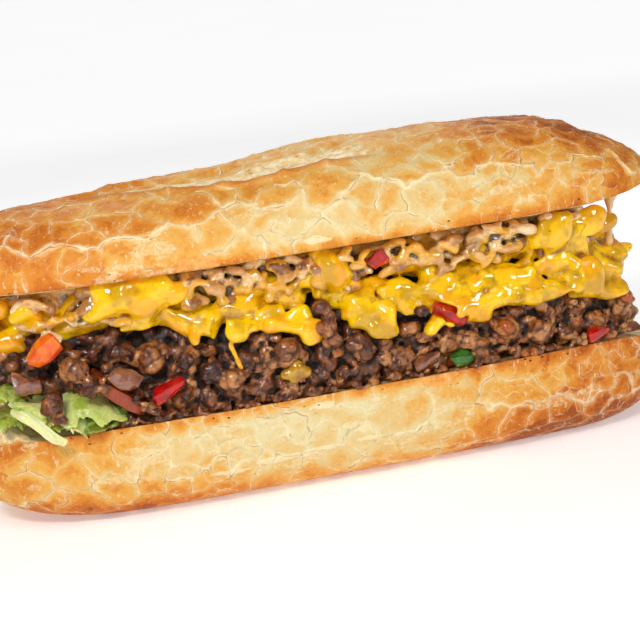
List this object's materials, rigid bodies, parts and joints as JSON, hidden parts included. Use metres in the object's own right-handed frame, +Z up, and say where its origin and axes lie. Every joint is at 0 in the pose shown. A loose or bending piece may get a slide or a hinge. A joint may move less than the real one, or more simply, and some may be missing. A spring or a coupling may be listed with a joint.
{
  "type": "submarine sandwich",
  "caption": "Long crusty roll in two halves round chopped beef, melted cheese, fried onion, peppers, tomato and lettuce, resting on its flat base.",
  "frame": {"origin": "on the resting surface, under the middle of the roll", "axes": "+X along the roll, -Y towards the open side that shows the filling best, +Z up"},
  "size_m": [0.242, 0.0744, 0.1092],
  "materials": {
    "crust": "golden baked crust, crackled, slightly glossy",
    "beef": "browned chopped beef, moist",
    "cheese": "melted yellow cheese, glossy",
    "sauce": "creamy orange sauce, glossy",
    "onion": "fried onion and mushroom, oily",
    "tomato": "tomato slice, moist",
    "lettuce": "pale crisp lettuce",
    "pepper_red": "red pepper, glossy",
    "pepper_orange": "orange pepper, glossy",
    "pepper_green": "green pepper, glossy"
  },
  "bodies": {
    "root": {"roll_lower": "crust", "roll_upper": "crust", "chopped_beef": "beef", "melted_cheese": "cheese", "fried_onions": "onion", "spread_sauce": "sauce", "lettuce_leaf_left": "lettuce", "lettuce_leaf_middle": "lettuce", "lettuce_leaf_back": "lettuce", "tomato_slice_left": "tomato", "tomato_slice_middle": "tomato", "pepper_orange_front": "pepper_orange", "pepper_orange_back": "pepper_orange", "pepper_red_front_left": "pepper_red", "pepper_red_front_middle": "pepper_red", "pepper_red_front_top": "pepper_red", "pepper_red_front_right": "pepper_red", "pepper_red_back_left": "pepper_red", "pepper_green_front": "pepper_green", "pepper_green_back": "pepper_green", "onion_petal_front_left": "onion", "onion_piece_front_left": "onion", "onion_petal_front_middle": "onion", "onion_petal_back": "onion"}
  },
  "joints": []
}
